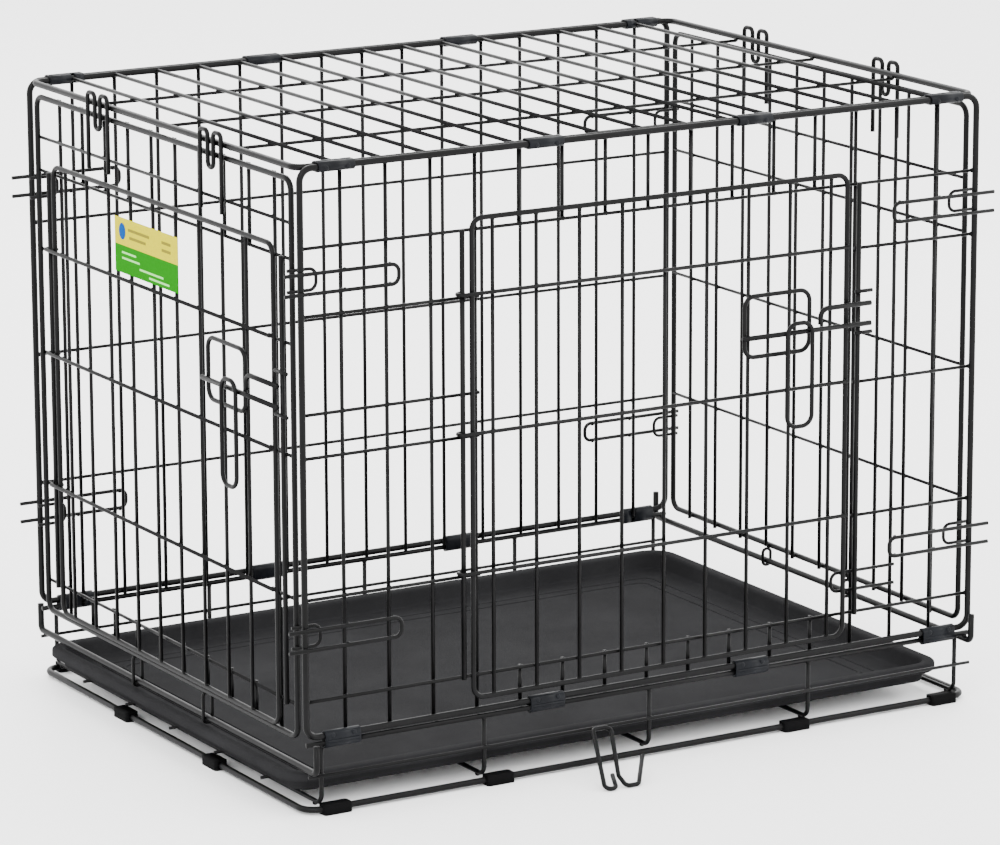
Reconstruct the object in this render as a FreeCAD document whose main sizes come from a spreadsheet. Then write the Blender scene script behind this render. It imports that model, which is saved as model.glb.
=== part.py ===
import FreeCAD, Part
import math
import os

# Folding wire dog crate, 24 inch size, millimetres.
# +Z up, +X along the long sides, the side door faces -Y, the end door faces -X.
# The origin is the middle of the ground rectangle that the crate covers.

doc = FreeCAD.newDocument("crate")
sheet = doc.addObject("Spreadsheet::Sheet", "Dims")
values = {}
row = [0]


def dim(alias, number):
    """One driving dimension, with its own name in the sheet."""
    row[0] += 1
    sheet.set("A%d" % row[0], alias)
    sheet.set("B%d" % row[0], repr(float(number)))
    sheet.setAlias("B%d" % row[0], alias)
    values[alias] = float(number)


def derived(alias, formula):
    """A dimension worked out from the others, kept as a formula in the sheet."""
    row[0] += 1
    sheet.set("A%d" % row[0], alias)
    sheet.set("B%d" % row[0], "=" + formula)
    sheet.setAlias("B%d" % row[0], alias)
    values[alias] = worked_out(formula)


def worked_out(formula):
    """Sums of named dimensions, so that bent paths follow the sheet too."""
    total = 0.0
    for term in formula.replace("- ", "+ -").split("+ "):
        term = term.strip()
        sign = -1.0 if term.startswith("-") else 1.0
        product = 1.0
        for factor in term.lstrip("-").split("*"):
            factor = factor.strip()
            product *= values[factor] if factor in values else float(factor)
        total += sign * product
    return total


# overall size and spacing
dim("half_length", 304.8)
dim("half_width", 228.6)
dim("crate_height", 495.3)
dim("pitch", 38.1)
dim("shift_y", 26.05)
dim("skin", 0.02)
# wire radii
dim("frame_r", 2.5)
dim("end_frame_r", 2.25)
dim("jamb_r", 2.0)
dim("upright_r", 1.5)
dim("cross_r", 1.3)
dim("hoop_r", 1.75)
dim("rail_r", 2.0)
# heights
dim("floor_wire_z", 4.0)
dim("mid_wire_z", 31.2)
dim("basket_rail_z", 55.5)
dim("panel_foot_z", 61.0)
dim("sill_z", 88.5)
dim("low_z", 167.0)
dim("middle_z", 275.0)
dim("left_short_z", 308.0)
dim("high_z", 382.0)
dim("header_z", 433.0)
# side door
dim("side_hinge_x", -167.0)
dim("side_door_left", -158.8)
dim("side_door_right", 179.0)
dim("side_door_foot", 71.5)
dim("side_door_head", 442.0)
dim("latch_jamb_x", 190.5)
# end panels and end door
dim("end_half_width", 213.0)
dim("end_head_z", 483.0)
dim("left_foot_z", 58.5)
dim("right_foot_z", 64.0)
dim("end_header_z", 423.0)
dim("end_upper_z", 450.0)
dim("end_high_z", 359.0)
dim("end_middle_z", 274.0)
dim("end_low_z", 165.0)
dim("right_header_z", 425.0)
dim("right_high_z", 382.0)
dim("right_low_z", 167.0)
dim("end_pitch", 40.0)
dim("end_pivot_x", 299.0)
dim("end_hinge_y", 190.0)
dim("end_door_near", 188.0)
dim("end_door_far", 181.0)
dim("end_door_foot", 63.0)
dim("end_door_head", 431.0)
# tray
dim("pan_half_width", 214.5)
dim("pan_left", 309.0)
dim("pan_right", 291.0)
dim("pan_floor_z", 12.7)
dim("pan_top_z", 29.2)
dim("pan_wall", 2.5)
dim("pan_flange", 9.0)
# layers, from the frame plane of a side panel
derived("side_plane", "half_width - frame_r")
derived("side_cross", "side_plane - 1.2")
derived("side_upright", "side_plane - frame_r - upright_r - skin")
derived("side_jamb", "side_cross + cross_r + jamb_r + skin")
derived("side_door_plane", "side_cross + cross_r + jamb_r + 0.25")
derived("end_plane", "half_length - frame_r")
derived("end_cross", "end_plane - 1.2")
derived("end_upright", "end_plane - frame_r - upright_r - skin")
derived("end_jamb", "end_cross + cross_r + jamb_r + skin")
derived("end_door_plane", "end_cross + cross_r + jamb_r + 0.25")
derived("top_rail_z", "crate_height - frame_r")
derived("top_edge_y", "side_plane - 2*frame_r - 0.1")
derived("hoop_z", "floor_wire_z + frame_r + hoop_r + skin")
derived("floor_long_z", "hoop_z + hoop_r + cross_r + skin")
derived("mid_wire_y", "side_plane + hoop_r + cross_r + skin")
derived("left_rail_z", "mid_wire_z + cross_r + frame_r + skin")
derived("right_rail_z", "basket_rail_z - rail_r - frame_r - skin")
doc.recompute()

count = [0]
TURN = {
    "x": FreeCAD.Rotation(FreeCAD.Vector(0, 1, 0), 90),
    "y": FreeCAD.Rotation(FreeCAD.Vector(1, 0, 0), -90),
    "z": FreeCAD.Rotation(),
}


def dims(text):
    """Put the sheet's name before every dimension in an expression."""
    out = []
    for word in text.replace("(", " ( ").replace(")", " ) ").split():
        out.append("Dims." + word if word in values else word)
    return " ".join(out)


def rod(axis, radius, low, high, x, y, z):
    """A straight wire along one axis, from low to high on that axis."""
    count[0] += 1
    wire = doc.addObject("Part::Cylinder", "Rod%d" % count[0])
    wire.Placement = FreeCAD.Placement(FreeCAD.Vector(0, 0, 0), TURN[axis])
    wire.setExpression("Radius", dims(radius))
    wire.setExpression("Height", dims("( %s ) - ( %s )" % (high, low)))
    place = {"x": x, "y": y, "z": z}
    place[axis] = low
    wire.setExpression("Placement.Base.x", dims(place["x"]))
    wire.setExpression("Placement.Base.y", dims("( %s ) + shift_y" % place["y"]))
    wire.setExpression("Placement.Base.z", dims(place["z"]))
    return wire


def path(points, bend, closed):
    """Straight runs joined by tangent arcs of one bend radius."""
    pts = [FreeCAD.Vector(*p) for p in points]
    number = len(pts)
    edges = []
    corners = []
    for i in range(number):
        if not closed and i in (0, number - 1):
            corners.append((pts[i], None, pts[i]))
            continue
        here = pts[i]
        back = (pts[i - 1] - here).normalize()
        ahead = (pts[(i + 1) % number] - here).normalize()
        half = back.getAngle(ahead) / 2
        cut = bend / math.tan(half)
        middle = (back + ahead).normalize()
        centre = here + middle * (bend / math.sin(half))
        corners.append((here + back * cut, centre - middle * bend, here + ahead * cut))
    for i in range(number):
        start, arc_middle, end = corners[i]
        if arc_middle is not None:
            edges.append(Part.Arc(start, arc_middle, end).toShape())
        if i < number - 1 or closed:
            following = corners[(i + 1) % number][0]
            if (following - end).Length > 0.001:
                edges.append(Part.LineSegment(end, following).toShape())
    return Part.Wire(edges)


def bent(radius, points, bend, closed=False):
    """A bent wire: a circle swept along straight runs and arcs."""
    count[0] += 1
    moved = [(p[0], p[1] + values["shift_y"], p[2]) for p in points]
    if closed:
        first, last = moved[0], moved[-1]
        middle = [(a + b) / 2 for a, b in zip(first, last)]
        wire = path([middle] + moved + [middle], bend, False)
    else:
        wire = path(moved, bend, False)
    spine = doc.addObject("Part::Feature", "Path%d" % count[0])
    spine.Shape = wire
    ring = doc.addObject("Part::Circle", "Section%d" % count[0])
    ring.setExpression("Radius", dims(radius))
    begin = wire.OrderedEdges[0]
    along = begin.tangentAt(begin.FirstParameter)
    turn = FreeCAD.Rotation(FreeCAD.Vector(0, 0, 1), along)
    ring.Placement = FreeCAD.Placement(begin.valueAt(begin.FirstParameter), turn)
    sweep = doc.addObject("Part::Sweep", "Bent%d" % count[0])
    sweep.Sections = [ring]
    sweep.Spine = (spine, ["Edge%d" % (i + 1) for i in range(len(wire.Edges))])
    sweep.Solid = True
    sweep.Frenet = False
    return sweep


nodes = []


def node(label, pieces):
    """One named subcomponent made of separate solids."""
    group = doc.addObject("Part::Compound", label)
    group.Links = pieces
    group.Label = label
    nodes.append(group)


def v(alias):
    return values[alias]


def front(u, z, d):
    return (u, -d, z)


def back(u, z, d):
    return (u, d, z)


def left(u, z, d):
    return (-d, -u, z)


def right(u, z, d):
    return (d, u, z)


def both(alias):
    """The two signs of one dimension, as expressions."""
    return ["- " + alias, alias]


# ---------------------------------------------------------------- floor basket
hl, hw = v("end_plane"), v("side_plane")
floor_z = v("floor_wire_z")
loop = [(-hl, -hw, floor_z), (hl, -hw, floor_z), (hl, hw, floor_z), (-hl, hw, floor_z)]
node("floor_frame", [bent("frame_r", loop, 14, True)])

HOOP_X = (-290.0, -148.5, 0.0, 148.5, 290.0)
hoop_top = v("basket_rail_z") - v("rail_r") - v("skin")
hoops = []
for x in HOOP_X:
    side = v("side_plane")
    low = v("hoop_z")
    line = [
        (x, -side, hoop_top),
        (x, -side, low),
        (x, side, low),
        (x, side, hoop_top),
    ]
    hoops.append(bent("hoop_r", line, 8))
node("floor_hoops", hoops)

long_wires = []
for step in (-4, -2, 0, 2, 4):
    y = "pitch * %d" % step
    long_wires.append(rod("x", "cross_r", "- end_plane", "end_plane", "0", y, "floor_long_z"))
node("floor_long_wires", long_wires)

side_wires = []
for y in both("mid_wire_y"):
    side_wires.append(rod("x", "cross_r", "- end_plane", "end_plane", "0", y, "mid_wire_z"))
node("basket_side_wires", side_wires)

rails = []
for y in both("side_plane"):
    rails.append(rod("x", "rail_r", "- end_plane", "end_plane", "0", y, "basket_rail_z"))
node("basket_hinge_rails", rails)

HOOK_Y = 236.0
HOOK_RISE = 22.0
for name, sign, height in (("left_end_rail", -1, "left_rail_z"), ("right_end_rail", 1, "right_rail_z")):
    x = sign * v("end_pivot_x")
    z = v(height)
    line = [(x, -HOOK_Y, z + HOOK_RISE), (x, -HOOK_Y, z), (x, HOOK_Y, z), (x, HOOK_Y, z + HOOK_RISE)]
    node(name, [bent("frame_r", line, 5)])


def foot(x, y, along):
    """A plastic foot that snaps round the floor wire."""
    length, width, height = 24.0, 11.0, 7.6
    block = doc.addObject("Part::Box", "Block%d" % count[0])
    count[0] += 1
    size = (length, width) if along == "x" else (width, length)
    block.Length, block.Width, block.Height = size[0], size[1], height
    corner = (x - size[0] / 2, y - size[1] / 2 + v("shift_y"), 0)
    block.Placement.Base = FreeCAD.Vector(*corner)
    bore = rod(along, "frame_r + skin", "%g" % ((x if along == "x" else y) - length),
               "%g" % ((x if along == "x" else y) + length), "%g" % x, "%g" % y, "floor_wire_z")
    soft = doc.addObject("Part::Fillet", "Soft%d" % count[0])
    soft.Base = block
    edges = []
    for i, edge in enumerate(block.Shape.Edges):
        if abs(edge.Vertexes[0].Z - edge.Vertexes[1].Z) > 1:
            edges.append((i + 1, 2.5, 2.5))
    soft.Edges = edges
    cut = doc.addObject("Part::Cut", "Foot%d" % count[0])
    cut.Base = soft
    cut.Tool = bore
    return cut


doc.recompute()
long_feet = []
for y in (-hw, hw):
    for x in (-278.0, -136.0, 136.0, 278.0):
        block_feet = foot(x, y, "x")
        long_feet.append(block_feet)
node("side_feet", long_feet)
end_feet = []
for x in (-hl, hl):
    for y in (-76.2, 76.2):
        end_feet.append(foot(x, y, "y"))
node("end_feet", end_feet)

# ---------------------------------------------------------------- side panels
post = "end_plane - frame_r - skin"
UPRIGHT_TOP = "top_rail_z - frame_r - 0.05"
UPRIGHT_FOOT = "panel_foot_z - frame_r"


def panel_frame(label, place):
    top = v("top_rail_z")
    low = v("panel_foot_z")
    plane = v("side_plane")
    loop = [place(-hl, low, plane), place(hl, low, plane), place(hl, top, plane), place(-hl, top, plane)]
    node(label, [bent("frame_r", loop, 10, True)])


def across(low, high, z, sign):
    y = "- side_cross" if sign < 0 else "side_cross"
    return rod("x", "cross_r", low, high, "0", y, z)


def upright(step, low, high, sign):
    y = "- side_upright" if sign < 0 else "side_upright"
    return rod("z", "upright_r", low, high, "pitch * %d" % step, y, "0")


panel_frame("front_frame", front)
front_uprights = []
for step in range(-7, 8):
    if step in (-7, -6, -5, -4, 6, 7):
        front_uprights.append(upright(step, UPRIGHT_FOOT, UPRIGHT_TOP, -1))
    elif step < 5:
        front_uprights.append(upright(step, "header_z - cross_r", UPRIGHT_TOP, -1))
        front_uprights.append(upright(step, UPRIGHT_FOOT, "sill_z + cross_r", -1))
    else:
        front_uprights.append(upright(step, UPRIGHT_FOOT, UPRIGHT_TOP, -1))
node("front_uprights", front_uprights)

far_left = "- ( end_plane - frame_r - skin )"
near_hinge = "- pitch * 4 + upright_r"
near_latch = "latch_jamb_x - jamb_r"
front_cross = [across(far_left, post, "header_z", -1), across(far_left, post, "sill_z", -1)]
for z in ("low_z", "middle_z", "high_z"):
    front_cross.append(across(far_left, near_hinge, z, -1))
    front_cross.append(across(near_latch, post, z, -1))
front_cross.append(across(far_left, near_hinge, "left_short_z", -1))
node("front_cross_wires", front_cross)

jambs = [
    rod("z", "jamb_r", "sill_z - cross_r", "header_z + cross_r", "side_hinge_x", "- side_jamb", "0"),
    rod("z", "jamb_r", "sill_z - cross_r", "header_z + cross_r", "latch_jamb_x", "- side_jamb", "0"),
]
node("front_door_jambs", jambs)

KEEPER_REACH = 199.0
keeper_y = "- ( side_jamb + jamb_r + upright_r + skin )"
keepers = []
for z in ("349", "316"):
    keepers.append(rod("x", "upright_r", "latch_jamb_x - 5", "%g" % (KEEPER_REACH + 2), "0", keeper_y, z))
node("front_bolt_keepers", keepers)

stop_d = v("side_upright") + v("upright_r") + v("cross_r") + v("skin")
stop = [
    front(230.0, 122.0, stop_d),
    front(170.0, 122.0, stop_d),
    front(170.0, 107.0, stop_d),
    front(230.0, 107.0, stop_d),
]
node("front_door_stop", [bent("cross_r", stop, 6)])


def locks(label, place):
    """Long U shaped lock wires near the corners of a side panel."""
    inner, outer = 222.0, 317.74
    plane = v("side_plane") + v("frame_r") + v("upright_r") + v("skin")
    wires = []
    for side in (-1, 1):
        for low, high in ((130.0, 145.0), (400.0, 415.0)):
            line = [
                place(side * outer, low, plane),
                place(side * inner, low, plane),
                place(side * inner, high, plane),
                place(side * outer, high, plane),
            ]
            wires.append(bent("upright_r", line, 6))
    node(label, wires)


locks("front_lock_wires", front)

panel_frame("back_frame", back)
node("back_uprights", [upright(step, UPRIGHT_FOOT, UPRIGHT_TOP, 1) for step in range(-7, 8)])
back_cross = []
for z in ("162", "269", "378"):
    back_cross.append(across(far_left, post, z, 1))
node("back_cross_wires", back_cross)
locks("back_lock_wires", back)

# ---------------------------------------------------------------- top panel
ty = v("top_edge_y")
tz = v("top_rail_z")
loop = [(-hl, -ty, tz), (hl, -ty, tz), (hl, ty, tz), (-hl, ty, tz)]
node("top_frame", [bent("frame_r", loop, 9, True)])
top_cross = []
for step in range(-7, 8):
    reach = "top_edge_y - frame_r - skin"
    top_cross.append(rod("y", "upright_r", "- ( %s )" % reach, reach, "pitch * %d" % step, "0", "top_rail_z"))
for wire in top_cross:
    wire.setExpression("Placement.Base.y", dims("shift_y - ( top_edge_y - frame_r - skin )"))
node("top_cross_wires", top_cross)
top_long = []
for step in (-3, 0, 3):
    z = "top_rail_z - upright_r - cross_r - skin"
    top_long.append(rod("x", "cross_r", far_left, post, "0", "pitch * %d" % step, z))
node("top_long_wires", top_long)

# ---------------------------------------------------------------- hinge clips
CLIP_X = (-272.5, -93.5, 93.5, 272.5)
CLIP_LONG = 30.0
NOTCH_X = 264.9


def clip(x, first, second, inner_r, outer_r):
    """A sheet metal sleeve, 30 long, closed round two side by side rails."""
    shells = []
    for radius in (outer_r, inner_r):
        extra = 0 if radius == outer_r else 2
        ends = []
        for y, z in (first, second):
            ends.append(rod("x", "%g" % radius, "%g" % (x - CLIP_LONG / 2 - extra),
                            "%g" % (x + CLIP_LONG / 2 + extra), "0", "%g" % y, "%g" % z))
        count[0] += 1
        slab = doc.addObject("Part::Box", "Slab%d" % count[0])
        slab.Length = CLIP_LONG + 2 * extra
        flat = abs(first[1] - second[1]) < 0.1
        low_y, high_y = min(first[0], second[0]), max(first[0], second[0])
        low_z, high_z = min(first[1], second[1]), max(first[1], second[1])
        if flat:
            slab.Width, slab.Height = high_y - low_y, 2 * radius
            corner = (x - CLIP_LONG / 2 - extra, low_y + v("shift_y"), low_z - radius)
        else:
            slab.Width, slab.Height = 2 * radius, high_z - low_z
            corner = (x - CLIP_LONG / 2 - extra, low_y - radius + v("shift_y"), low_z)
        slab.Placement.Base = FreeCAD.Vector(*corner)
        whole = doc.addObject("Part::MultiFuse", "Sleeve%d" % count[0])
        whole.Shapes = ends + [slab]
        whole.Refine = True
        shells.append(whole)
    cut = doc.addObject("Part::Cut", "Clip%d" % count[0])
    cut.Base, cut.Tool = shells
    if abs(x) < 200:
        return cut
    notch = doc.addObject("Part::Box", "Notch%d" % count[0])
    notch.Length = 3.6
    notch.Width = 8.0
    notch.Height = 2 * outer_r + abs(first[1] - second[1]) + 2
    left_x = NOTCH_X if x > 0 else -NOTCH_X - 3.6
    near_y = 216.0 if second[0] > 0 else -224.0
    under = min(first[1], second[1]) - outer_r - 1
    notch.Placement.Base = FreeCAD.Vector(left_x, near_y + v("shift_y"), under)
    open_sleeve = doc.addObject("Part::Cut", "Open%d" % count[0])
    open_sleeve.Base = cut
    open_sleeve.Tool = notch
    return open_sleeve


for name, sign in (("front", -1), ("back", 1)):
    lower = []
    upper = []
    for x in CLIP_X:
        y = sign * v("side_plane")
        lower.append(clip(x, (y, v("basket_rail_z")), (y, v("panel_foot_z")), 2.56, 3.9))
        upper.append(clip(x, (sign * ty, tz), (y, tz), 2.56, 3.9))
    node(name + "_lower_clips", lower)
    node(name + "_upper_clips", upper)

# ---------------------------------------------------------------- end panels


def end_panel(prefix, place, foot_alias, rail_alias, sign):
    plane = v("end_plane")
    half = v("end_half_width")
    low, top = v(foot_alias), v("end_head_z")
    loop = [
        place(-half, low, plane),
        place(half, low, plane),
        place(half, top, plane),
        place(-half, top, plane),
    ]
    node(prefix + "_frame", [bent("end_frame_r", loop, 9, True)])
    x_cross = "- end_cross" if sign < 0 else "end_cross"
    x_up = "- end_upright" if sign < 0 else "end_upright"
    reach = "end_half_width - end_frame_r - skin"
    cross = []
    beside = ("end_low_z", "end_middle_z", "end_high_z") if sign < 0 else ()
    whole = ("%s + 25" % foot_alias, "end_header_z", "end_upper_z")
    if sign > 0:
        whole = ("right_low_z", "end_middle_z", "right_high_z", "right_header_z")
    for z in beside:
        cross.append(rod("y", "cross_r", "- ( %s )" % reach, "- 4.5 * end_pitch", x_cross, "0", z))
        cross.append(rod("y", "cross_r", "4.5 * end_pitch", reach, x_cross, "0", z))
    for z in whole:
        cross.append(rod("y", "cross_r", "- ( %s )" % reach, reach, x_cross, "0", z))
    node(prefix + "_cross_wires", cross)
    ups = []
    head = "end_head_z + 1"
    for number in range(10):
        y = "end_pitch * %g" % (number - 4.5)
        bottom = foot_alias + (" - 0.4" if number in (3, 6) else " - end_frame_r")
        if sign > 0 or number in (0, 9):
            ups.append(rod("z", "upright_r", bottom, head, x_up, y, "0"))
        else:
            ups.append(rod("z", "upright_r", "end_header_z - cross_r", head, x_up, y, "0"))
            ups.append(rod("z", "upright_r", bottom, "%s + 26" % foot_alias, x_up, y, "0"))
    node(prefix + "_uprights", ups)
    eyes = []
    pivot = v("end_pivot_x")
    lower = v(rail_alias) - 3.9
    upper = low - 2.92
    for y in (-60.0, 60.0):
        ring = [
            place(y, lower, pivot - 3.9),
            place(y, lower, pivot + 3.9),
            place(y, upper, pivot + 3.9),
            place(y, upper, pivot - 3.9),
        ]
        eyes.append(bent("cross_r", ring, 3.6, True))
    node(prefix + "_hinge_eyes", eyes)
    catches = []
    for height in (137.0, 408.0):
        for side in (-1, 1):
            u = side * (half + v("end_frame_r") + v("cross_r") + v("skin"))
            line = [
                place(u, height + 8, plane + 6),
                place(u, height + 8, plane - 18),
                place(u, height - 8, plane - 18),
                place(u, height - 8, plane + 6),
            ]
            catches.append(bent("cross_r", line, 6))
    node(prefix + "_catches", catches)


end_panel("left_end", left, "left_foot_z", "left_rail_z", -1)
end_panel("right_end", right, "right_foot_z", "right_rail_z", 1)
END_JAMB_FOOT = "left_foot_z + 25 - cross_r"
END_JAMB_HEAD = "end_header_z + cross_r"
node("left_end_jambs", [
    rod("z", "jamb_r", END_JAMB_FOOT, END_JAMB_HEAD, "- end_jamb", "end_hinge_y", "0"),
    rod("z", "jamb_r", END_JAMB_FOOT, END_JAMB_HEAD, "- end_jamb", "- 5.25 * pitch", "0"),
])
end_keepers = []
for z in ("338", "305"):
    x = "- ( end_jamb + jamb_r + upright_r + skin )"
    end_keepers.append(rod("y", "upright_r", "- end_half_width", "- 5.25 * pitch + 5", x, "0", z))
node("left_end_bolt_keepers", end_keepers)

# ---------------------------------------------------------------- doors


def door(prefix, place, plane, hinge, edge_a, edge_b, foot_z, head_z, jamb_plane, levels, first):
    """A door frame with its wires, and cross wires curled round the hinge jamb."""
    loop = [
        place(edge_a, foot_z, plane),
        place(edge_b, foot_z, plane),
        place(edge_b, head_z, plane),
        place(edge_a, head_z, plane),
    ]
    node(prefix + "_frame", [bent("jamb_r", loop, 9, True)])
    out = plane + v("jamb_r") - v("upright_r")
    ups = []
    u = first
    while u < edge_b - 8:
        point = place(u, 0, out)
        ups.append(rod("z", "upright_r", "%g" % (foot_z + v("jamb_r") + 0.02),
                       "%g" % (head_z - v("jamb_r") - 0.02), "%g" % point[0], "%g" % point[1], "0"))
        u += v("pitch")
    node(prefix + "_wires", ups)
    curls = []
    gap = 3.8
    for z in levels:
        line = [
            place(edge_b, z, jamb_plane + gap),
            place(hinge - gap, z, jamb_plane + gap),
            place(hinge - gap, z, jamb_plane - gap),
            place(hinge + gap, z, jamb_plane - gap),
        ]
        curls.append(bent("upright_r", line, 3.6))
    node(prefix + "_hinge_wires", curls)


def latch(prefix, place, u, z, plane, reach):
    """Guide loop on the door, sliding hairpin bolt and hanging pull loop."""
    guide = v("hoop_r")
    lower, upper = z - 24, z + 24
    loop = [
        place(u - 30, lower, plane),
        place(u + 30, lower, plane),
        place(u + 30, upper, plane),
        place(u - 30, upper, plane),
    ]
    node(prefix + "_guide", [bent("hoop_r", loop, 9, True)])
    bolt_d = plane + guide + v("jamb_r") + 0.02
    straight = [
        place(u - 34, z - 8, bolt_d),
        place(u + reach, z - 8, bolt_d),
    ]
    hairpin = [
        place(u + reach, z + 8, bolt_d),
        place(u + 38, z + 8, bolt_d),
        place(u + 38, z - 3.98, bolt_d),
    ]
    node(prefix + "_bolt", [bent("jamb_r", straight, 7), bent("jamb_r", hairpin, 7)])
    pull_d = bolt_d + v("jamb_r") + v("hoop_r") + 0.05
    pull = [
        place(u + 5, z - 82, pull_d),
        place(u + 28, z - 82, pull_d),
        place(u + 28, z, pull_d),
        place(u + 5, z, pull_d),
    ]
    node(prefix + "_handle", [bent("hoop_r", pull, 9, True)])


door(
    "side_door", front, v("side_door_plane"), v("side_hinge_x"), v("side_door_left"), v("side_door_right"),
    v("side_door_foot"), v("side_door_head"), v("side_jamb"), (170.3, 278.3, 385.3), -141.3,
)
side_latch_d = v("side_door_plane") + v("jamb_r") + v("hoop_r") + v("skin")
latch("side_latch", front, 112.0, 332.0, side_latch_d, 85.0)
door(
    "end_door", left, v("end_door_plane"), -v("end_hinge_y"), -v("end_door_far"), v("end_door_near"),
    v("end_door_foot"), v("end_door_head"), v("end_jamb"), (168.3, 277.3, 362.3), -158.0,
)
end_latch_d = v("end_door_plane") + v("jamb_r") + v("hoop_r") + v("skin")
latch("end_latch", left, 119.0, 320.0, end_latch_d, 87.0)

tag_d = v("end_door_plane") + v("jamb_r") + 0.05
tag = doc.addObject("Part::Box", "Tag")
tag.Length = 0.8
tag.Width = 106.0
tag.Height = 43.5
tag.Placement.Base = FreeCAD.Vector(-tag_d - 0.8, v("shift_y") - 40.0, 367.5)
node("end_door_tag", [tag])

# ---------------------------------------------------------------- top hold-down hooks
for end_name, place, sign in (("left", left, -1), ("right", right, 1)):
    for where, middle in (("near", -95.0), ("far", 95.0)):
        plane = v("end_plane") + v("frame_r") + v("hoop_r") + 0.05
        u = -middle if sign < 0 else middle
        low, peak, dip = 441.0, 501.5, 474.0
        line = [
            place(u - 17, low, plane),
            place(u - 17, peak, plane),
            place(u - 4.5, peak, plane),
            place(u - 4.5, dip, plane),
            place(u + 4.5, dip, plane),
            place(u + 4.5, peak, plane),
            place(u + 17, peak, plane),
            place(u + 17, low, plane),
        ]
        node("%s_%s_hook" % (end_name, where), [bent("hoop_r", line, 4.2)])

# ---------------------------------------------------------------- carry hook
PIVOT_D = v("mid_wire_y") + v("cross_r") + v("hoop_r") + 0.05
drop = v("mid_wire_z") - v("hoop_r") - 0.15
length = 64.0
slope = math.asin(drop / length)


def slanted(u, s):
    d = PIVOT_D + s * math.cos(slope)
    return (u, -d, v("mid_wire_z") - s * math.sin(slope))


hook = [
    slanted(-30, 36),
    slanted(-49, 64),
    slanted(-60, 64),
    slanted(-60.5, 52),
    slanted(-39, 0),
    slanted(-55, 0),
    slanted(-79, 64),
    slanted(-69, 64),
    slanted(-65, 50),
]
node("carry_hook", [bent("hoop_r", hook, 4)])

# ---------------------------------------------------------------- pan
px0, px1 = -v("pan_left"), v("pan_right")
flange = v("pan_flange")
half = v("pan_half_width")
z0, z1 = v("pan_floor_z"), v("pan_top_z")
sy = v("shift_y")


def slab(name, x0, x1, half_y, low, high, bend):
    """A rounded block, bound to its place in the tray."""
    block = doc.addObject("Part::Box", name)
    block.Length, block.Width, block.Height = x1 - x0, 2 * half_y, high - low
    block.Placement.Base = FreeCAD.Vector(x0, sy - half_y, low)
    doc.recompute()
    soft = doc.addObject("Part::Fillet", name + "Soft")
    soft.Base = block
    edges = []
    for i, edge in enumerate(block.Shape.Edges):
        if abs(edge.Vertexes[0].Z - edge.Vertexes[1].Z) > 0.5:
            edges.append((i + 1, bend, bend))
    soft.Edges = edges
    return soft


wall = v("pan_wall")
lower = slab("PanLower", px0 + flange, px1 - flange, half - flange, z0, z1, 16)
lip = slab("PanLip", px0, px1, half, z1 - 6.5, z1, 22)
rim = flange + wall
hollow = slab("PanHollow", px0 + rim, px1 - rim, half - rim, z0 + 2.2, z1 + 5, 14)
whole = doc.addObject("Part::MultiFuse", "PanWhole")
whole.Shapes = [lower, lip]
under = slab("PanUnder", px0 + 2.2, px1 - 2.2, half - 2.2, z1 - 8, z1 - 2.2, 20)
core = slab("PanCore", px0 + flange - 0.01, px1 - flange + 0.01, half - flange + 0.01, z1 - 9, z1 + 1, 16)
groove = doc.addObject("Part::Cut", "PanGroove")
groove.Base, groove.Tool = under, core
tray = doc.addObject("Part::Cut", "PanTray")
tray.Base, tray.Tool = whole, hollow
pan = doc.addObject("Part::Cut", "PanDone")
pan.Base, pan.Tool = tray, groove
node("pan", [pan])

doc.recompute()
for item in doc.Objects:
    if "Invalid" in item.State or "Error" in item.State:
        raise RuntimeError("%s: %s" % (item.Name, item.State))
    shape = getattr(item, "Shape", None)
    if shape is not None and (shape.isNull() or not shape.isValid()):
        raise RuntimeError("bad shape: " + item.Name)

os.makedirs("parts", exist_ok=True)
for item in nodes:
    item.Shape.exportStep("parts/%s.step" % item.Label)
FreeCAD.Console.PrintMessage("%d nodes\n" % len(nodes))
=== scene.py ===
"""Looks of the folding wire crate: coated wire, welds, crimped clips, moulded pan, hang tag."""
import math

import bmesh
import bpy
from mathutils import Matrix, Vector


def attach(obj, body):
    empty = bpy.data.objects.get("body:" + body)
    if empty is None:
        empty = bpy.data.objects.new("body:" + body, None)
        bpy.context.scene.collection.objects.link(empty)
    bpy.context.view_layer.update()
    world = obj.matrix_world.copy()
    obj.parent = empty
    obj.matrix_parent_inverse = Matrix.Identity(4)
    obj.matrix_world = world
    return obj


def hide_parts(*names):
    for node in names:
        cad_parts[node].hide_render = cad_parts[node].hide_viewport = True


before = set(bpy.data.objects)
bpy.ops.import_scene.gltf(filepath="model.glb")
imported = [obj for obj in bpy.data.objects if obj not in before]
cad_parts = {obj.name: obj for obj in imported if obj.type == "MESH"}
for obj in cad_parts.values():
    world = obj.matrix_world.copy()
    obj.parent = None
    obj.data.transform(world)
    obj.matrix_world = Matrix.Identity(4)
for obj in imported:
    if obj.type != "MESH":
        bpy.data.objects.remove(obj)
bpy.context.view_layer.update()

MM = 0.001
SHIFT_Y = 26.05
PITCH = 38.1
END_PITCH = 40.0
SIDE_PLANE = 226.1
END_PLANE = 302.3
SIDE_CROSS = SIDE_PLANE - 1.2
SIDE_UPRIGHT = SIDE_PLANE - 4.02
END_CROSS = END_PLANE - 1.2
END_UPRIGHT = END_PLANE - 4.02
TOP_Z = 492.8
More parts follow.
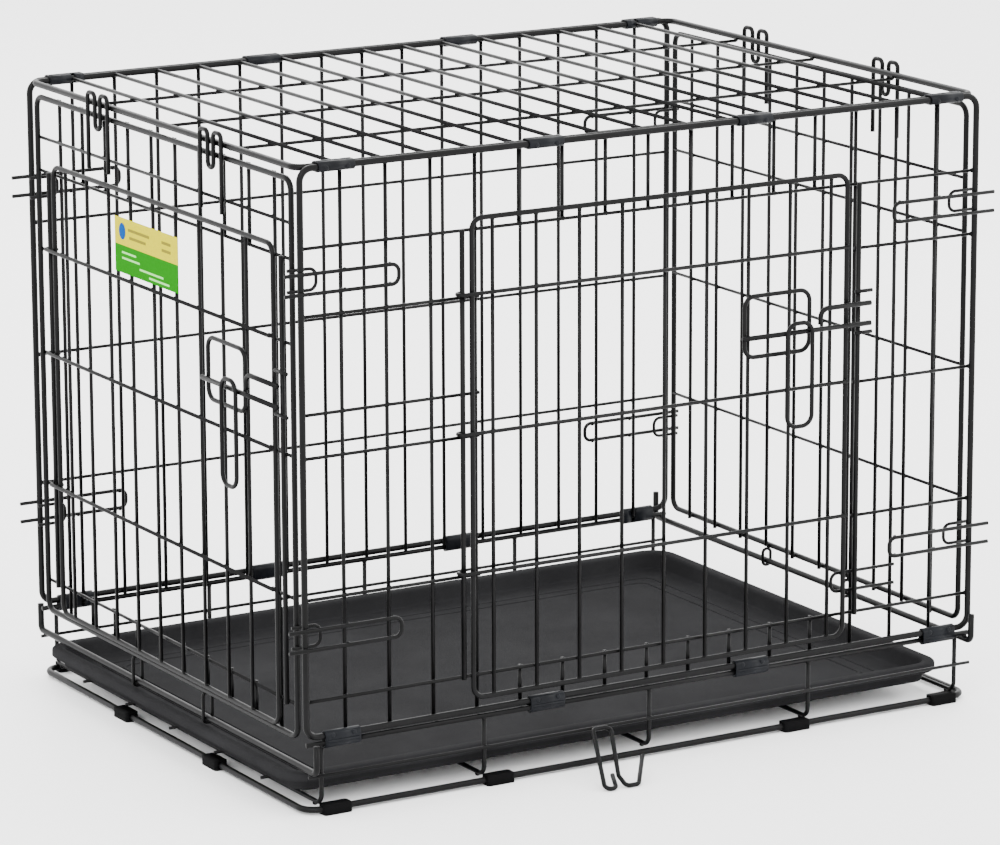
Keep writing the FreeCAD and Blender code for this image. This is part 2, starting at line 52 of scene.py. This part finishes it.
# heights of the cross wires
SILL_Z = 88.5
LOW_Z = 167.0
MIDDLE_Z = 275.0
SHORT_Z = 308.0
HIGH_Z = 382.0
HEADER_Z = 433.0
BACK_HEIGHTS = (162.0, 269.0, 378.0)
LOCK_HEIGHTS = (130.0, 145.0, 400.0, 415.0)
LEFT_HEIGHTS = (423.0, 450.0, 83.5)
LEFT_SIDE_HEIGHTS = (165.0, 274.0, 359.0)
RIGHT_HEIGHTS = (167.0, 274.0, 382.0, 425.0)
SIDE_HINGE_HEIGHTS = (170.3, 278.3, 385.3)
END_HINGE_HEIGHTS = (168.3, 277.3, 362.3)
CLIP_X = (-272.5, -93.5, 93.5, 272.5)
# camera
AZIMUTH = -30.625
ELEVATION = 13.34
ROLL = -0.202
LENS = 185.06
DISTANCE = 4.1369


def metres(x, y, z):
    """A place in crate millimetres, as scene metres."""
    return Vector((x * MM, (y + SHIFT_Y) * MM, z * MM))


# ------------------------------------------------------------------ camera
def aim_camera():
    azimuth = math.radians(AZIMUTH)
    elevation = math.radians(ELEVATION)
    roll = math.radians(ROLL)
    level = math.cos(elevation)
    back = Vector((math.sin(azimuth) * level, -math.cos(azimuth) * level, math.sin(elevation)))
    right = Vector((math.cos(azimuth), math.sin(azimuth), 0.0))
    up = back.cross(right)
    turned_right = right * math.cos(roll) + up * math.sin(roll)
    turned_up = back.cross(turned_right)
    place = metres(0.39, 0.0, 220.44) + back * DISTANCE
    data = bpy.data.cameras.new("camera")
    data.sensor_width = 36.0
    data.lens = LENS
    data.clip_end = 50.0
    camera = bpy.data.objects.new("camera", data)
    bpy.context.scene.collection.objects.link(camera)
    turn = Matrix((turned_right, turned_up, back)).transposed().to_4x4()
    camera.matrix_world = Matrix.Translation(place) @ turn
    bpy.context.scene.camera = camera


aim_camera()


# ------------------------------------------------------------------ materials
def linear(code):
    """An sRGB colour code as linear values with alpha."""
    out = []
    for i in (0, 2, 4):
        c = int(code[i:i + 2], 16) / 255
        out.append(c / 12.92 if c <= 0.04045 else ((c + 0.055) / 1.055) ** 2.4)
    return (*out, 1.0)


def add(tree, kind, settings=None, **links):
    """Adds one node, with its settings and the outputs that feed it."""
    made = tree.nodes.new(kind)
    for name, value in (settings or {}).items():
        if name in made.inputs:
            made.inputs[name].default_value = value
        else:
            setattr(made, name, value)
    for name, output in links.items():
        tree.links.new(output, made.inputs[name.replace("_", " ")])
    return made


def fresh(name):
    material = bpy.data.materials.new(name)
    material.use_nodes = True
    tree = material.node_tree
    tree.nodes.clear()
    return material, tree


def ramp(tree, fac, stops):
    """A colour ramp with stops of (place, colour)."""
    made = add(tree, "ShaderNodeValToRGB", None, Fac=fac)
    elements = made.color_ramp.elements
    while len(elements) < len(stops):
        elements.new(0.5)
    for element, (place, colour) in zip(elements, stops):
        element.position = place
        element.color = colour
    return made.outputs["Color"]


def grey(level):
    return (level, level, level, 1.0)


def coated_metal(name, dark, light, rough, grain, coat):
    """Baked black coating: slight orange peel, soft dust and rubbed patches."""
    material, tree = fresh(name)
    where = add(tree, "ShaderNodeTexCoord").outputs["Object"]
    broad = {"Scale": 38.0, "Detail": 6.0, "Roughness": 0.6}
    fine = {"Scale": 900.0, "Detail": 3.0, "Roughness": 0.55}
    patches = add(tree, "ShaderNodeTexNoise", broad, Vector=where)
    peel = add(tree, "ShaderNodeTexNoise", fine, Vector=where)
    specks = add(tree, "ShaderNodeTexVoronoi", {"Scale": 420.0}, Vector=where)
    base = ramp(tree, patches.outputs["Fac"], [(0.35, linear(dark)), (0.7, linear(light))])
    dots = ramp(tree, specks.outputs["Distance"], [(0.03, grey(1.0)), (0.09, grey(0.0))])
    colour = add(tree, "ShaderNodeMix", {"data_type": "RGBA", "blend_type": "MIX"})
    tree.links.new(dots, colour.inputs["Factor"])
    tree.links.new(base, colour.inputs[6])
    colour.inputs[7].default_value = linear("2c2b2d")
    low, high = rough
    sheen_map = ramp(tree, patches.outputs["Fac"], [(0.3, grey(low)), (0.75, grey(high))])
    settings = {"Strength": grain, "Distance": 0.0001}
    bump = add(tree, "ShaderNodeBump", settings, Height=peel.outputs["Fac"])
    finish = {"Coat Weight": coat, "Coat Roughness": 0.3, "Specular IOR Level": 0.08}
    shader = add(tree, "ShaderNodeBsdfPrincipled", finish)
    tree.links.new(colour.outputs[2], shader.inputs["Base Color"])
    tree.links.new(sheen_map, shader.inputs["Roughness"])
    tree.links.new(bump.outputs["Normal"], shader.inputs["Normal"])
    add(tree, "ShaderNodeOutputMaterial", None, Surface=shader.outputs["BSDF"])
    return material


def grained_plastic(name, dark, light, rough, scale, depth):
    """Moulded plastic with a fine leather grain and faint scuffs."""
    material, tree = fresh(name)
    where = add(tree, "ShaderNodeTexCoord").outputs["Object"]
    cells = add(tree, "ShaderNodeTexVoronoi", {"Scale": scale, "feature": "F1"}, Vector=where)
    fine = add(tree, "ShaderNodeTexNoise", {"Scale": scale * 2.5, "Detail": 4.0}, Vector=where)
    wide = {"Scale": 14.0, "Detail": 5.0, "Roughness": 0.62}
    broad = add(tree, "ShaderNodeTexNoise", wide, Vector=where)
    base = ramp(tree, broad.outputs["Fac"], [(0.3, linear(dark)), (0.72, linear(light))])
    height = add(tree, "ShaderNodeMath", {"operation": "MULTIPLY_ADD"})
    tree.links.new(fine.outputs["Fac"], height.inputs[0])
    height.inputs[1].default_value = 0.5
    tree.links.new(cells.outputs["Distance"], height.inputs[2])
    bump = add(tree, "ShaderNodeBump", {"Strength": 0.55, "Distance": depth}, Height=height.outputs[0])
    low, high = rough
    dull = ramp(tree, fine.outputs["Fac"], [(0.3, grey(low)), (0.7, grey(high))])
    shader = add(tree, "ShaderNodeBsdfPrincipled", {"Specular IOR Level": 0.02})
    tree.links.new(base, shader.inputs["Base Color"])
    tree.links.new(dull, shader.inputs["Roughness"])
    tree.links.new(bump.outputs["Normal"], shader.inputs["Normal"])
    add(tree, "ShaderNodeOutputMaterial", None, Surface=shader.outputs["BSDF"])
    return material


def printed_card(name, code):
    """Flat printed ink on card with a faint paper tooth."""
    material, tree = fresh(name)
    where = add(tree, "ShaderNodeTexCoord").outputs["Object"]
    tooth = add(tree, "ShaderNodeTexNoise", {"Scale": 700.0, "Detail": 3.0}, Vector=where)
    tone = linear(code)
    pale = tuple(min(1.0, c * 1.12) for c in tone[:3]) + (1.0,)
    base = ramp(tree, tooth.outputs["Fac"], [(0.35, tone), (0.65, pale)])
    settings = {"Strength": 0.2, "Distance": 0.00005}
    bump = add(tree, "ShaderNodeBump", settings, Height=tooth.outputs["Fac"])
    shader = add(tree, "ShaderNodeBsdfPrincipled", {"Roughness": 0.6, "Specular IOR Level": 0.01})
    tree.links.new(base, shader.inputs["Base Color"])
    tree.links.new(bump.outputs["Normal"], shader.inputs["Normal"])
    add(tree, "ShaderNodeOutputMaterial", None, Surface=shader.outputs["BSDF"])
    return material


# The tones are darker and less shiny than the real finishes, to suit the bright surroundings.
WIRE = coated_metal("black_wire", "030303", "080809", (0.32, 0.44), 0.35, 0.03)
CLIP = coated_metal("clip_metal", "06070a", "0f1115", (0.36, 0.5), 0.5, 0.03)
PAN = grained_plastic("pan_plastic", "19191a", "212122", (0.74, 0.88), 900.0, 0.00022)
FOOT = grained_plastic("foot_plastic", "060606", "0b0b0c", (0.5, 0.7), 1400.0, 0.0001)
INKS = {
    "yellow": printed_card("tag_yellow", "a89f00"),
    "green": printed_card("tag_green", "0e6404"),
    "blue": printed_card("tag_blue", "083a78"),
    "brown": printed_card("tag_brown", "6b6420"),
    "mint": printed_card("tag_mint", "7cc46a"),
}


# ------------------------------------------------------------------ helpers for pieces
def piece(name, mesh_builder, material, body, smooth=True):
    """Builds one piece at its place, rides it on a body and gives it a finish."""
    mesh = bpy.data.meshes.new(name)
    shape = bmesh.new()
    mesh_builder(shape)
    bmesh.ops.recalc_face_normals(shape, faces=shape.faces)
    for face in shape.faces:
        face.smooth = smooth
    shape.to_mesh(mesh)
    shape.free()
    obj = bpy.data.objects.new(name, mesh)
    bpy.context.scene.collection.objects.link(obj)
    mesh.materials.append(material)
    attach(obj, body)
    return obj


def sized(place, size):
    """The matrix that puts a unit shape at a place, with its size in millimetres."""
    return Matrix.Translation(place) @ Matrix.Diagonal((*(s * MM for s in size), 1.0))


def nugget(shape, place, spread, tall, axis):
    """A flattened bead of weld metal."""
    size = {"x": (tall, spread, spread), "y": (spread, tall, spread), "z": (spread, spread, tall)}[axis]
    bmesh.ops.create_icosphere(shape, subdivisions=2, radius=1.0, matrix=sized(place, size))


def welds(points, spread, tall, axis):
    def build(shape):
        for place in points:
            nugget(shape, place, spread, tall, axis)
    return build


# ------------------------------------------------------------------ finish of the CAD parts
def finish_nodes():
    for name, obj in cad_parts.items():
        material = WIRE
        if name == "pan":
            material = PAN
        elif name.endswith("_feet"):
            material = FOOT
        elif name.endswith("_clips"):
            material = CLIP
        elif name == "end_door_tag":
            material = INKS["green"]
        obj.data.materials.clear()
        obj.data.materials.append(material)
        merge = obj.modifiers.new("merge", "WELD")
        merge.merge_threshold = 0.00001
        for face in obj.data.polygons:
            face.use_smooth = True


finish_nodes()


# ------------------------------------------------------------------ weld beads
def side_welds():
    front = []
    back = []
    y = (SIDE_CROSS + SIDE_UPRIGHT) / 2 + 0.1
    for step in range(-7, 8):
        x = step * PITCH
        heights = [SILL_Z, HEADER_Z]
        if step <= -4:
            heights += [LOW_Z, MIDDLE_Z, SHORT_Z, HIGH_Z]
        elif step >= 5:
            heights += [LOW_Z, MIDDLE_Z, HIGH_Z]
        for z in heights:
            front.append(metres(x, -y, z))
        for z in BACK_HEIGHTS:
            back.append(metres(x, y, z))
        for sign, row in ((-1, front), (1, back)):
            row.append(metres(x, sign * (SIDE_PLANE - 3.0), 61.0))
            row.append(metres(x, sign * (SIDE_PLANE - 3.4), 490.4))
    for sign in (-1, 1):
        for z in (SILL_Z, HEADER_Z, LOW_Z, MIDDLE_Z, HIGH_Z):
            front.append(metres(sign * 299.8, -SIDE_CROSS, z))
        for z in BACK_HEIGHTS:
            back.append(metres(sign * 299.8, SIDE_CROSS, z))
        for z in LOCK_HEIGHTS:
            for x in (302.3, 266.7, 228.6):
                front.append(metres(sign * x, -(SIDE_PLANE + 2.2), z))
                back.append(metres(sign * x, SIDE_PLANE + 2.2, z))
    piece("front_weld_beads", welds(front, 1.9, 1.5, "y"), WIRE, "crate")
    piece("back_weld_beads", welds(back, 1.9, 1.5, "y"), WIRE, "crate")


def top_welds():
    beads = []
    for step in range(-7, 8):
        for row in (-3, 0, 3):
            beads.append(metres(step * PITCH, row * PITCH, 491.2))
        for sign in (-1, 1):
            beads.append(metres(step * PITCH, sign * 218.4, TOP_Z))
    for sign in (-1, 1):
        for row in (-3, 0, 3):
            beads.append(metres(sign * 299.6, row * PITCH, 490.6))
    piece("top_weld_beads", welds(beads, 1.9, 1.6, "z"), WIRE, "crate")


def floor_welds():
    beads = []
    for x in (-290.0, -148.5, 0.0, 148.5, 290.0):
        for row in (-4, -2, 0, 2, 4):
            beads.append(metres(x, row * PITCH, 10.0))
        for sign in (-1, 1):
            beads.append(metres(x, sign * 226.1, 53.4))
            beads.append(metres(x, sign * 227.9, 31.2))
            beads.append(metres(x, sign * 216.0, 6.6))
    for side, height in ((-1, 33.0), (1, 53.4)):
        for sign in (-1, 1):
            beads.append(metres(side * 299.0, sign * 227.0, height))
    piece("floor_weld_beads", welds(beads, 2.2, 1.7, "z"), WIRE, "crate")


def end_welds():
    x = (END_CROSS + END_UPRIGHT) / 2 + 0.1
    left = []
    right = []
    for number in range(10):
        y = (number - 4.5) * END_PITCH
        heights = list(LEFT_HEIGHTS)
        if number in (0, 9):
            heights += LEFT_SIDE_HEIGHTS
        for z in heights:
            left.append(metres(-x, y, z))
        for z in RIGHT_HEIGHTS:
            right.append(metres(x, y, z))
        if number not in (3, 6):
            left.append(metres(-(END_PLANE - 2.6), y, 58.5))
            right.append(metres(END_PLANE - 2.6, y, 64.0))
        for sign, row in ((-1, left), (1, right)):
            row.append(metres(sign * (END_PLANE - 2.6), y, 483.0))
    for y in (-60.0, 60.0):
        left.append(metres(-300.8, y, 57.2))
        right.append(metres(300.8, y, 62.7))
    piece("left_end_weld_beads", welds(left, 1.9, 1.5, "x"), WIRE, "left_end")
    piece("right_end_weld_beads", welds(right, 1.9, 1.5, "x"), WIRE, "right_end")


def door_welds():
    side = []
    u = -141.3
    while u < 170:
        for z in SIDE_HINGE_HEIGHTS:
            side.append(metres(u, -230.5, z))
        for z in (73.4, 440.1):
            side.append(metres(u, -229.0, z))
        u += PITCH
    for z in SIDE_HINGE_HEIGHTS:
        side.append(metres(-158.8, -230.6, z))
        side.append(metres(178.0, -230.6, z))
    for x in (87.3, 125.4):
        for z in (308.2, 356.0):
            side.append(metres(x, -230.8, z))
    end = []
    u = -158.0
    while u < 185:
        for z in END_HINGE_HEIGHTS:
            end.append(metres(-306.7, -u, z))
        for z in (65.0, 429.1):
            end.append(metres(-305.2, -u, z))
        u += PITCH
    for z in END_HINGE_HEIGHTS:
        end.append(metres(-306.8, 181.0, z))
        end.append(metres(-306.8, -187.0, z))
    piece("side_door_weld_beads", welds(side, 1.9, 1.4, "y"), WIRE, "side_door")
    piece("end_door_weld_beads", welds(end, 1.9, 1.4, "x"), WIRE, "end_door")


side_welds()
top_welds()
floor_welds()
end_welds()
door_welds()


# ------------------------------------------------------------------ crimped clips
def clip_seams():
    """The lapped seam and two pressed dimples of every sheet metal clip."""
    def build(shape):
        for x in CLIP_X:
            for sign in (-1, 1):
                for centre, size in (
                    ((x, sign * 229.9, 57.0), (28.0, 0.9, 2.6)),
                    ((x, sign * 223.5, 496.5), (28.0, 2.6, 0.9)),
                ):
                    made = bmesh.ops.create_cube(shape, size=1.0, matrix=sized(metres(*centre), size))
                    edges = list({e for vert in made["verts"] for e in vert.link_edges})
                    bmesh.ops.bevel(shape, geom=edges, offset=0.35 * MM, segments=2, affect="EDGES")
                for along in (-9.0, 9.0):
                    nugget(shape, metres(x + along, sign * 229.8, 61.5), 2.0, 0.8, "y")
                    nugget(shape, metres(x + along, sign * 229.8, 492.0), 2.0, 0.8, "y")
    piece("clip_seams", build, CLIP, "crate")


clip_seams()


# ------------------------------------------------------------------ moulded pan
PAN_PROFILE = (
    (22.0, 14.9), (15.5, 14.9), (14.2, 15.1), (13.1, 15.7), (12.4, 16.7), (11.2, 26.6), (10.8, 27.8),
    (10.0, 28.8), (8.8, 29.2), (2.4, 29.2), (1.2, 28.9), (0.4, 28.2), (0.0, 27.2), (0.0, 23.2),
    (0.5, 22.7), (1.3, 22.7), (1.8, 23.2), (2.1, 26.0), (3.0, 27.0), (7.4, 27.0), (8.8, 26.4),
    (9.2, 25.0), (10.2, 14.4), (11.2, 13.1), (12.8, 12.7), (24.0, 12.7),
)


def rounded_ring(inset, z, segments=12):
    """Points round a rounded rectangle, inset from the pan's outer edge."""
    low = (-309.0 + inset, -214.5 + inset)
    high = (291.0 - inset, 214.5 - inset)
    radius = max(24.0 - inset, 9.0)
    points = []
    corners = (
        (high[0] - radius, high[1] - radius, 0.0),
        (low[0] + radius, high[1] - radius, 90.0),
        (low[0] + radius, low[1] + radius, 180.0),
        (high[0] - radius, low[1] + radius, 270.0),
    )
    for cx, cy, start in corners:
        for i in range(segments + 1):
            angle = math.radians(start + 90.0 * i / segments)
            points.append(metres(cx + radius * math.cos(angle), cy + radius * math.sin(angle), z))
    return points


def moulded_pan():
    def build(shape):
        rings = []
        for inset, z in PAN_PROFILE:
            rings.append([shape.verts.new(p) for p in rounded_ring(inset, z)])
        for first, second in zip(rings, rings[1:]):
            count = len(first)
            for i in range(count):
                j = (i + 1) % count
                shape.faces.new((first[i], first[j], second[j], second[i]))
        shape.faces.new(rings[0])
        shape.faces.new(rings[-1])
    tray = piece("moulded_pan", build, PAN, "pan")
    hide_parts("pan")

    def ribs(shape):
        """Shallow ridges that stiffen the floor of the tray."""
        for inset in (34.0, 46.0):
            outer = [shape.verts.new(p) for p in rounded_ring(inset, 14.8)]
            crest_out = [shape.verts.new(p) for p in rounded_ring(inset + 1.0, 15.5)]
            crest_in = [shape.verts.new(p) for p in rounded_ring(inset + 2.4, 15.5)]
            inner = [shape.verts.new(p) for p in rounded_ring(inset + 3.4, 14.8)]
            rows = [outer, crest_out, crest_in, inner, outer]
            for first, second in zip(rows, rows[1:]):
                count = len(first)
                for i in range(count):
                    j = (i + 1) % count
                    shape.faces.new((first[i], first[j], second[j], second[i]))
    piece("pan_ribs", ribs, PAN, "pan")


moulded_pan()


# ------------------------------------------------------------------ hang tag
TAG_X = -308.05
CARD_THICK = 0.6
INK_LIFT = 0.12
TAG_LINES = ((7.0, 403.0, 36.0), (13.0, 397.0, 28.0), (-29.0, 403.0, 15.0), (-29.0, 397.0, 15.0))
TAG_NOTES = ((30.0, 384.0, 24.0), (24.0, 379.5, 30.0), (-16.0, 375.0, 40.0), (-26.0, 371.0, 34.0))


def card(name, ink, low, high, y_low, y_high, lift=0.0):
    """A printed area of the tag, between two heights and two widths."""
    def build(shape):
        middle = metres(TAG_X - lift + CARD_THICK / 2, (y_low + y_high) / 2, (low + high) / 2)
        size = (CARD_THICK, y_high - y_low, high - low)
        bmesh.ops.create_cube(shape, size=1.0, matrix=sized(middle, size))
    return piece(name, build, INKS[ink], "end_door", smooth=False)


def hang_tag():
    upper = card("tag_upper", "yellow", 389.5, 411.0, -40.0, 66.0)
    card("tag_lower", "green", 367.5, 389.5, -40.0, 66.0)
    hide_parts("end_door_tag")

    def emblem(shape):
        matrix = sized(metres(TAG_X - 0.2, 53.0, 400.5), (0.3, 5.5, 6.5))
        bmesh.ops.create_uvsphere(shape, u_segments=24, v_segments=16, radius=1.0, matrix=matrix)
    piece("tag_emblem", emblem, INKS["blue"], "end_door")
    for i, (y, z, wide) in enumerate(TAG_LINES):
        card("tag_line_%d" % i, "brown", z - 1.1, z + 1.1, y, y + wide, INK_LIFT)
    for i, (y, z, wide) in enumerate(TAG_NOTES):
        card("tag_note_%d" % i, "mint", z - 0.8, z + 0.8, y, y + wide, INK_LIFT)


hang_tag()


# ------------------------------------------------------------------ stage and light
def studio():
    floor_mesh = bpy.data.meshes.new("floor")
    shape = bmesh.new()
    bmesh.ops.create_grid(shape, x_segments=1, y_segments=1, size=12.0)
    shape.to_mesh(floor_mesh)
    shape.free()
    floor = bpy.data.objects.new("floor", floor_mesh)
    bpy.context.scene.collection.objects.link(floor)
    material, tree = fresh("studio_floor")
    shader = add(tree, "ShaderNodeBsdfPrincipled", {"Base Color": linear("f7f7f7"), "Roughness": 0.55})
    add(tree, "ShaderNodeOutputMaterial", None, Surface=shader.outputs["BSDF"])
    floor_mesh.materials.append(material)

    world = bpy.data.worlds.new("studio_world")
    bpy.context.scene.world = world
    world.use_nodes = True
    background = world.node_tree.nodes["Background"]
    background.inputs["Color"].default_value = (1.0, 1.0, 1.0, 1.0)
    background.inputs["Strength"].default_value = 3.8

    for name, place, size, power in (
        ("key", (-2.2, -2.4, 2.6), 1.6, 60.0),
        ("fill", (2.6, -1.8, 1.8), 2.0, 45.0),
        ("rim", (0.4, 2.6, 2.4), 1.8, 60.0),
    ):
        data = bpy.data.lights.new(name, "AREA")
        data.energy = power
        data.size = size
        light = bpy.data.objects.new(name, data)
        bpy.context.scene.collection.objects.link(light)
        light.location = place
        away = Vector(place) - Vector((0.0, 0.0, 0.25))
        light.rotation_euler = away.to_track_quat("Z", "Y").to_euler()


studio()
